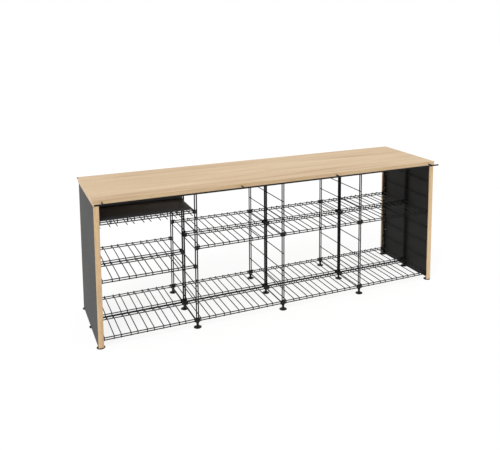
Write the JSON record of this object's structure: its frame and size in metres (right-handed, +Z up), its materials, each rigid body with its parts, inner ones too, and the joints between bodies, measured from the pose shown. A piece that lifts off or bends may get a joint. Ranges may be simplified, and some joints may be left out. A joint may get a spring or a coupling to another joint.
{
  "type": "bar counter with shelves",
  "caption": "Long bar counter: oak worktop on ladder frames of steel rod, with clipped wire shelves, a hanging glass rack and levelling feet.",
  "frame": {"origin": "on the floor, under the middle of the worktop", "axes": "+X along the counter to the right as seen from its front, +Y from the front to the rear, +Z up"},
  "size_m": [2.81, 0.8334, 1.04],
  "materials": {
    "oak": "oiled",
    "coated_steel": "satin",
    "laminate": "satin",
    "black_plastic": "matte",
    "screw_steel": "satin"
  },
  "bodies": {
    "counter": {"worktop": "oak", "frame_1": "coated_steel", "frame_2": "coated_steel", "frame_3": "coated_steel", "frame_4": "coated_steel", "frame_5": "coated_steel", "top_bars": "coated_steel", "left_panel": "laminate", "right_panel": "laminate", "left_front_strip": "oak", "left_rear_strip": "oak", "right_front_strip": "oak", "right_rear_strip": "oak", "bay_1_bottom_front": "coated_steel", "bay_1_bottom_rear": "coated_steel", "bay_2_bottom_front": "coated_steel", "bay_2_bottom_rear": "coated_steel", "bay_3_bottom_front": "coated_steel", "bay_3_bottom_rear": "coated_steel", "bay_4_bottom_front": "coated_steel", "bay_4_bottom_rear": "coated_steel", "bay_1_low_front": "coated_steel", "bay_1_low_rear": "coated_steel", "bay_2_high_front": "coated_steel", "bay_2_high_rear": "coated_steel", "bay_3_high_front": "coated_steel", "bay_3_high_rear": "coated_steel", "bay_4_high_front": "coated_steel", "bay_4_high_rear": "coated_steel", "glass_shelf": "coated_steel", "front_clips": "black_plastic", "middle_clips": "black_plastic", "rear_clips": "black_plastic", "glass_tray": "coated_steel", "glass_rods": "coated_steel", "glass_stirrups": "coated_steel", "front_bar": "coated_steel", "rear_bar": "coated_steel", "bar_pegs": "coated_steel", "foot_blocks": "coated_steel", "panel_tabs": "coated_steel", "strip_spacers": "black_plastic", "worktop_screws": "screw_steel", "fixing_screws": "screw_steel"},
    "foot_1_front_body": {"foot_1_front": "black_plastic"},
    "foot_1_middle_body": {"foot_1_middle": "black_plastic"},
    "foot_1_rear_body": {"foot_1_rear": "black_plastic"},
    "foot_2_front_body": {"foot_2_front": "black_plastic"},
    "foot_2_middle_body": {"foot_2_middle": "black_plastic"},
    "foot_2_rear_body": {"foot_2_rear": "black_plastic"},
    "foot_3_front_body": {"foot_3_front": "black_plastic"},
    "foot_3_middle_body": {"foot_3_middle": "black_plastic"},
    "foot_3_rear_body": {"foot_3_rear": "black_plastic"},
    "foot_4_front_body": {"foot_4_front": "black_plastic"},
    "foot_4_middle_body": {"foot_4_middle": "black_plastic"},
    "foot_4_rear_body": {"foot_4_rear": "black_plastic"},
    "foot_5_front_body": {"foot_5_front": "black_plastic"},
    "foot_5_middle_body": {"foot_5_middle": "black_plastic"},
    "foot_5_rear_body": {"foot_5_rear": "black_plastic"}
  },
  "joints": [
    {"name": "foot_1_front_screw", "type": "slide", "parent": "counter", "child": "foot_1_front_body", "axis": [0, 0, -1], "range_m": [0, 0.015]},
    {"name": "foot_1_middle_screw", "type": "slide", "parent": "counter", "child": "foot_1_middle_body", "axis": [0, 0, -1], "range_m": [0, 0.015]},
    {"name": "foot_1_rear_screw", "type": "slide", "parent": "counter", "child": "foot_1_rear_body", "axis": [0, 0, -1], "range_m": [0, 0.015]},
    {"name": "foot_2_front_screw", "type": "slide", "parent": "counter", "child": "foot_2_front_body", "axis": [0, 0, -1], "range_m": [0, 0.015]},
    {"name": "foot_2_middle_screw", "type": "slide", "parent": "counter", "child": "foot_2_middle_body", "axis": [0, 0, -1], "range_m": [0, 0.015]},
    {"name": "foot_2_rear_screw", "type": "slide", "parent": "counter", "child": "foot_2_rear_body", "axis": [0, 0, -1], "range_m": [0, 0.015]},
    {"name": "foot_3_front_screw", "type": "slide", "parent": "counter", "child": "foot_3_front_body", "axis": [0, 0, -1], "range_m": [0, 0.015]},
    {"name": "foot_3_middle_screw", "type": "slide", "parent": "counter", "child": "foot_3_middle_body", "axis": [0, 0, -1], "range_m": [0, 0.015]},
    {"name": "foot_3_rear_screw", "type": "slide", "parent": "counter", "child": "foot_3_rear_body", "axis": [0, 0, -1], "range_m": [0, 0.015]},
    {"name": "foot_4_front_screw", "type": "slide", "parent": "counter", "child": "foot_4_front_body", "axis": [0, 0, -1], "range_m": [0, 0.015]},
    {"name": "foot_4_middle_screw", "type": "slide", "parent": "counter", "child": "foot_4_middle_body", "axis": [0, 0, -1], "range_m": [0, 0.015]},
    {"name": "foot_4_rear_screw", "type": "slide", "parent": "counter", "child": "foot_4_rear_body", "axis": [0, 0, -1], "range_m": [0, 0.015]},
    {"name": "foot_5_front_screw", "type": "slide", "parent": "counter", "child": "foot_5_front_body", "axis": [0, 0, -1], "range_m": [0, 0.015]},
    {"name": "foot_5_middle_screw", "type": "slide", "parent": "counter", "child": "foot_5_middle_body", "axis": [0, 0, -1], "range_m": [0, 0.015]},
    {"name": "foot_5_rear_screw", "type": "slide", "parent": "counter", "child": "foot_5_rear_body", "axis": [0, 0, -1], "range_m": [0, 0.015]}
  ]
}
